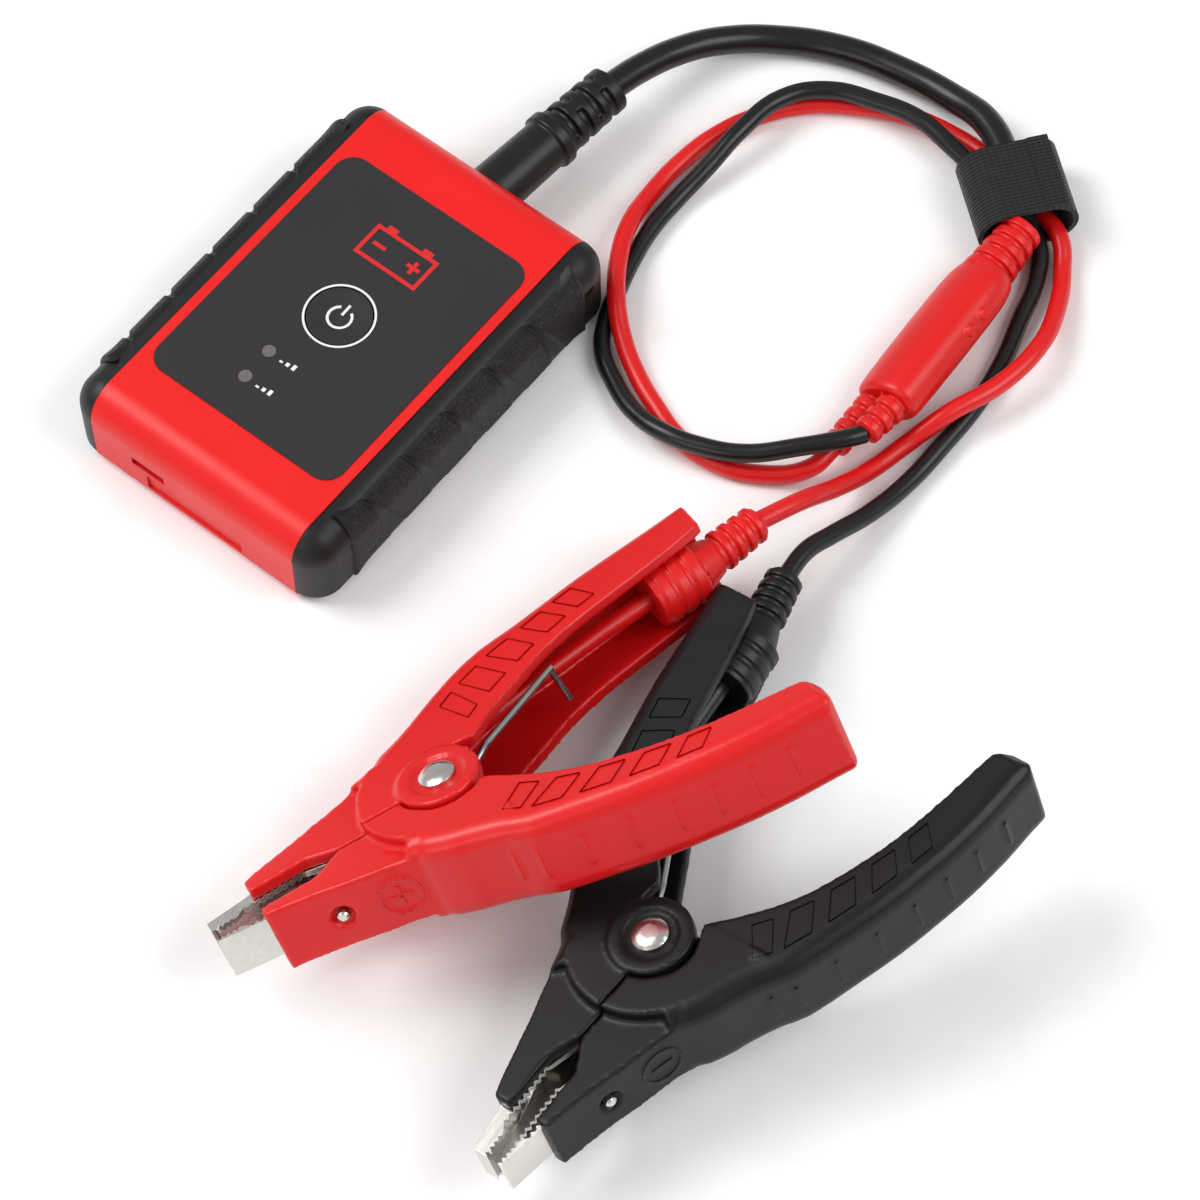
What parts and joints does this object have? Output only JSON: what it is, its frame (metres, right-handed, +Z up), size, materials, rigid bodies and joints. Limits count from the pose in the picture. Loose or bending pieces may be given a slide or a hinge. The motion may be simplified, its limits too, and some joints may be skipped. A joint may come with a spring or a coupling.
{
  "type": "battery tester with clamp leads",
  "caption": "Handheld battery tester with grip bumpers, a power button and a gland, wired through a splitter to a red and a black spring clamp on coiled leads.",
  "frame": {"origin": "centre of the tester's underside, on the table", "axes": "+Z up out of the front panel, +Y towards the tester's cable gland, +X towards the clamps"},
  "size_m": [0.2386, 0.2858, 0.0665],
  "materials": {
    "red_plastic": "satin moulded",
    "grip_rubber": "textured grip",
    "overlay_film": "matte printed film",
    "button_plastic": "matte",
    "lens_plastic": "clear grey",
    "board": "solder mask",
    "black_part": "moulded",
    "led_part": "clear",
    "steel": "plated",
    "shield_can": "plated",
    "brass": "tinned",
    "black_rubber": "smooth jacket",
    "red_rubber": "smooth jacket",
    "strap_fabric": "hook and loop",
    "red_clamp": "satin moulded",
    "black_clamp": "satin moulded",
    "nickel": "bright plated",
    "spring_steel": "drawn wire"
  },
  "bodies": {
    "tester": {"upper_shell": "red_plastic", "lower_shell": "red_plastic", "left_bumper": "grip_rubber", "right_bumper": "grip_rubber", "front_overlay": "overlay_film", "status_window": "lens_plastic", "power_window": "lens_plastic", "circuit_board": "board", "tact_switch": "black_part", "indicator_leds": "led_part", "usb_socket": "steel", "wireless_module": "shield_can", "processor_chip": "black_part", "load_transistors": "black_part", "cable_terminals": "brass", "case_screws": "steel", "cable_gland": "black_rubber", "cable_tail": "black_rubber", "main_cable": "black_rubber", "lead_splitter": "red_rubber", "red_lead": "red_rubber", "black_lead": "black_rubber", "cable_strap": "strap_fabric", "red_fixed_handle": "red_clamp", "red_fixed_jaw": "nickel", "red_pivot_rivet": "nickel", "red_spring": "spring_steel", "red_cable_boot": "red_rubber", "red_lead_tail": "red_rubber", "red_fixed_jaw_rivet": "nickel", "black_fixed_handle": "black_clamp", "black_fixed_jaw": "nickel", "black_pivot_rivet": "nickel", "black_spring": "spring_steel", "black_cable_boot": "black_rubber", "black_lead_tail": "black_rubber", "black_fixed_jaw_rivet": "nickel"},
    "button": {"power_button": "button_plastic"},
    "red_clamp": {"red_moving_handle": "red_clamp", "red_moving_jaw": "nickel", "red_moving_jaw_rivet": "nickel", "red_spring_leg": "spring_steel"},
    "black_clamp": {"black_moving_handle": "black_clamp", "black_moving_jaw": "nickel", "black_moving_jaw_rivet": "nickel", "black_spring_leg": "spring_steel"}
  },
  "joints": [
    {"name": "power_button_press", "type": "slide", "parent": "tester", "child": "button", "axis": [0, 0, -1], "range_m": [0, 0.0004], "stiffness_N_per_m": 600, "springref_m": -0.0006},
    {"name": "red_clamp_hinge", "type": "hinge", "parent": "tester", "child": "red_clamp", "pos_m": [0.10711, -0.08318, 0.0171], "axis": [-0.5159, 0.0972, 0.8511], "range_deg": [0, 32], "stiffness_Nm_per_rad": 1.2, "springref_deg": -34.38},
    {"name": "black_clamp_hinge", "type": "hinge", "parent": "tester", "child": "black_clamp", "pos_m": [0.15848, -0.0792, 0.0085], "axis": [-0.2731, -0.0403, 0.9612], "range_deg": [0, 32], "stiffness_Nm_per_rad": 1.2, "springref_deg": -34.38}
  ]
}
